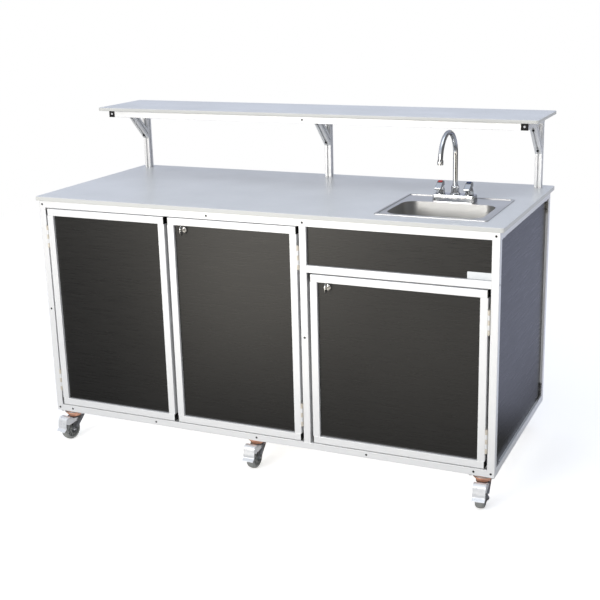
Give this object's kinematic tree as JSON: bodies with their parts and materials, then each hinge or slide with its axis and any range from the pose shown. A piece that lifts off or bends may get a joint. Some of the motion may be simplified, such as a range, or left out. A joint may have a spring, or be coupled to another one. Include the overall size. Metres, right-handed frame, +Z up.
{
  "type": "portable handwash sink",
  "caption": "Wheeled sink cabinet of slotted aluminium bar with dark panels, hinged doors, a worktop with a drop-in sink and gooseneck faucet, and a raised rear shelf.",
  "frame": {"origin": "on the floor, midway across the width and midway through the whole depth, from the front brake pedals to the rear wheels", "axes": "+X to the right seen from the front, +Y towards the back, +Z up"},
  "size_m": [1.7526, 0.8096, 1.233],
  "materials": {
    "aluminium_bar": "satin anodised",
    "bright_steel": "bright nickel plate",
    "dark_panel": "fine ribbed, low sheen",
    "pale_board": "smooth",
    "laminate_top": "smooth laminate",
    "black_plastic": "moulded",
    "stainless": "brushed",
    "faucet_chrome": "polished",
    "grey_hose": "matt",
    "braided_hose": "braided",
    "tank_plastic": "translucent moulded",
    "pump_black": "moulded",
    "heater_white": "enamel",
    "zinc_plate": "bright zinc plate",
    "copper_ring": "yellow-red passivated",
    "wheel_grey": "matt polyurethane"
  },
  "bodies": {
    "cabinet": {"frame_posts": "aluminium_bar", "frame_rails": "aluminium_bar", "cross_beams": "aluminium_bar", "shelf_uprights": "aluminium_bar", "shelf_frame": "aluminium_bar", "shelf_braces": "aluminium_bar", "corner_brackets": "bright_steel", "hinge_leaves_and_pins": "bright_steel", "side_panels": "dark_panel", "back_panels": "dark_panel", "fascia_panel": "dark_panel", "inner_panels": "pale_board", "storage_shelf": "pale_board", "name_plate": "pale_board", "worktop": "laminate_top", "shelf_board": "laminate_top", "caps_and_plugs": "black_plastic", "sink_bowl": "stainless", "basket_strainer": "stainless", "faucet_body": "faucet_chrome", "drain_hose": "grey_hose", "supply_hoses": "braided_hose", "fresh_tank": "tank_plastic", "waste_tank": "tank_plastic", "pump": "pump_black", "water_heater": "heater_white", "caster_plates": "zinc_plate", "caster_rings": "copper_ring"},
    "left_door": {"left_door_frame": "aluminium_bar", "left_door_panel": "dark_panel", "left_door_caps": "black_plastic"},
    "middle_door": {"middle_door_frame": "aluminium_bar", "middle_door_panel": "dark_panel", "middle_door_caps": "black_plastic", "middle_lock_body": "bright_steel"},
    "middle_lock": {"middle_lock_plug": "bright_steel"},
    "right_door": {"right_door_frame": "aluminium_bar", "right_door_panel": "dark_panel", "right_door_caps": "black_plastic", "right_lock_body": "bright_steel"},
    "right_lock": {"right_lock_plug": "bright_steel"},
    "spout": {"spout": "faucet_chrome"},
    "hot_handle": {"hot_handle": "faucet_chrome"},
    "cold_handle": {"cold_handle": "faucet_chrome"},
    "front_left_caster": {"front_left_fork": "zinc_plate"},
    "front_left_wheel": {"front_left_wheel": "wheel_grey"},
    "front_left_brake": {"front_left_pedal": "zinc_plate"},
    "front_middle_caster": {"front_middle_fork": "zinc_plate"},
    "front_middle_wheel": {"front_middle_wheel": "wheel_grey"},
    "front_middle_brake": {"front_middle_pedal": "zinc_plate"},
    "front_right_caster": {"front_right_fork": "zinc_plate"},
    "front_right_wheel": {"front_right_wheel": "wheel_grey"},
    "front_right_brake": {"front_right_pedal": "zinc_plate"},
    "rear_left_caster": {"rear_left_fork": "zinc_plate"},
    "rear_left_wheel": {"rear_left_wheel": "wheel_grey"},
    "rear_middle_caster": {"rear_middle_fork": "zinc_plate"},
    "rear_middle_wheel": {"rear_middle_wheel": "wheel_grey"},
    "rear_right_caster": {"rear_right_fork": "zinc_plate"},
    "rear_right_wheel": {"rear_right_wheel": "wheel_grey"}
  },
  "joints": [
    {"name": "left_door_hinge", "type": "hinge", "parent": "cabinet", "child": "left_door", "pos_m": [-0.8342, -0.36516, 0.245], "axis": [0, 0, -1], "range_deg": [0, 110]},
    {"name": "middle_door_hinge", "type": "hinge", "parent": "cabinet", "child": "middle_door", "pos_m": [0.1787, -0.36516, 0.245], "axis": [0, 0, 1], "range_deg": [0, 110]},
    {"name": "middle_lock_turn", "type": "hinge", "parent": "middle_door", "child": "middle_lock", "pos_m": [-0.25865, -0.35546, 0.8718], "axis": [0, -1, 0], "range_deg": [0, 90]},
    {"name": "right_door_hinge", "type": "hinge", "parent": "cabinet", "child": "right_door", "pos_m": [0.8342, -0.36516, 0.245], "axis": [0, 0, 1], "range_deg": [0, 110]},
    {"name": "right_lock_turn", "type": "hinge", "parent": "right_door", "child": "right_lock", "pos_m": [0.2825, -0.35546, 0.7131], "axis": [0, -1, 0], "range_deg": [0, 90]},
    {"name": "spout_swivel", "type": "hinge", "parent": "cabinet", "child": "spout", "pos_m": [0.6124, -0.00016, 0.9982], "axis": [0, 0, 1], "range_deg": [-90, 90]},
    {"name": "hot_handle_turn", "type": "hinge", "parent": "cabinet", "child": "hot_handle", "pos_m": [0.5616, -0.00216, 0.9982], "axis": [0, 0, -1], "range_deg": [0, 90]},
    {"name": "cold_handle_turn", "type": "hinge", "parent": "cabinet", "child": "cold_handle", "pos_m": [0.6632, -0.00216, 0.9982], "axis": [0, 0, 1], "range_deg": [0, 90]},
    {"name": "front_left_swivel", "type": "hinge", "parent": "cabinet", "child": "front_left_caster", "pos_m": [-0.8156, -0.32216, 0.1], "axis": [0, 0, 1], "continuous": true},
    {"name": "front_left_roll", "type": "hinge", "parent": "front_left_caster", "child": "front_left_wheel", "pos_m": [-0.82101, -0.34759, 0.038], "axis": [0.9781, -0.2079, 0], "continuous": true},
    {"name": "front_left_brake_pedal", "type": "hinge", "parent": "front_left_caster", "child": "front_left_brake", "pos_m": [-0.81768, -0.33194, 0.078], "axis": [-0.9781, 0.2079, 0], "range_deg": [0, 12]},
    {"name": "front_middle_swivel", "type": "hinge", "parent": "cabinet", "child": "front_middle_caster", "pos_m": [-0.0286, -0.30816, 0.1], "axis": [0, 0, 1], "continuous": true},
    {"name": "front_middle_roll", "type": "hinge", "parent": "front_middle_caster", "child": "front_middle_wheel", "pos_m": [-0.02951, -0.33414, 0.038], "axis": [0.9994, -0.0349, 0], "continuous": true},
    {"name": "front_middle_brake_pedal", "type": "hinge", "parent": "front_middle_caster", "child": "front_middle_brake", "pos_m": [-0.02895, -0.31815, 0.078], "axis": [-0.9994, 0.0349, 0], "range_deg": [0, 12]},
    {"name": "front_right_swivel", "type": "hinge", "parent": "cabinet", "child": "front_right_caster", "pos_m": [0.8156, -0.32216, 0.1], "axis": [0, 0, 1], "continuous": true},
    {"name": "front_right_roll", "type": "hinge", "parent": "front_right_caster", "child": "front_right_wheel", "pos_m": [0.81696, -0.34812, 0.038], "axis": [0.9986, 0.0523, 0], "continuous": true},
    {"name": "front_right_brake_pedal", "type": "hinge", "parent": "front_right_caster", "child": "front_right_brake", "pos_m": [0.81612, -0.33215, 0.078], "axis": [-0.9986, -0.0523, 0], "range_deg": [0, 12]},
    {"name": "rear_left_swivel", "type": "hinge", "parent": "cabinet", "child": "rear_left_caster", "pos_m": [-0.7736, 0.34084, 0.1], "axis": [0, 0, 1], "continuous": true},
    {"name": "rear_left_roll", "type": "hinge", "parent": "rear_left_caster", "child": "rear_left_wheel", "pos_m": [-0.7736, 0.36684, 0.038], "axis": [-1, 0, 0], "continuous": true},
    {"name": "rear_middle_swivel", "type": "hinge", "parent": "cabinet", "child": "rear_middle_caster", "pos_m": [-0.0286, 0.34084, 0.1], "axis": [0, 0, 1], "continuous": true},
    {"name": "rear_middle_roll", "type": "hinge", "parent": "rear_middle_caster", "child": "rear_middle_wheel", "pos_m": [-0.0286, 0.36684, 0.038], "axis": [-1, 0, 0], "continuous": true},
    {"name": "rear_right_swivel", "type": "hinge", "parent": "cabinet", "child": "rear_right_caster", "pos_m": [0.7736, 0.34084, 0.1], "axis": [0, 0, 1], "continuous": true},
    {"name": "rear_right_roll", "type": "hinge", "parent": "rear_right_caster", "child": "rear_right_wheel", "pos_m": [0.7736, 0.36684, 0.038], "axis": [-1, 0, 0], "continuous": true}
  ]
}
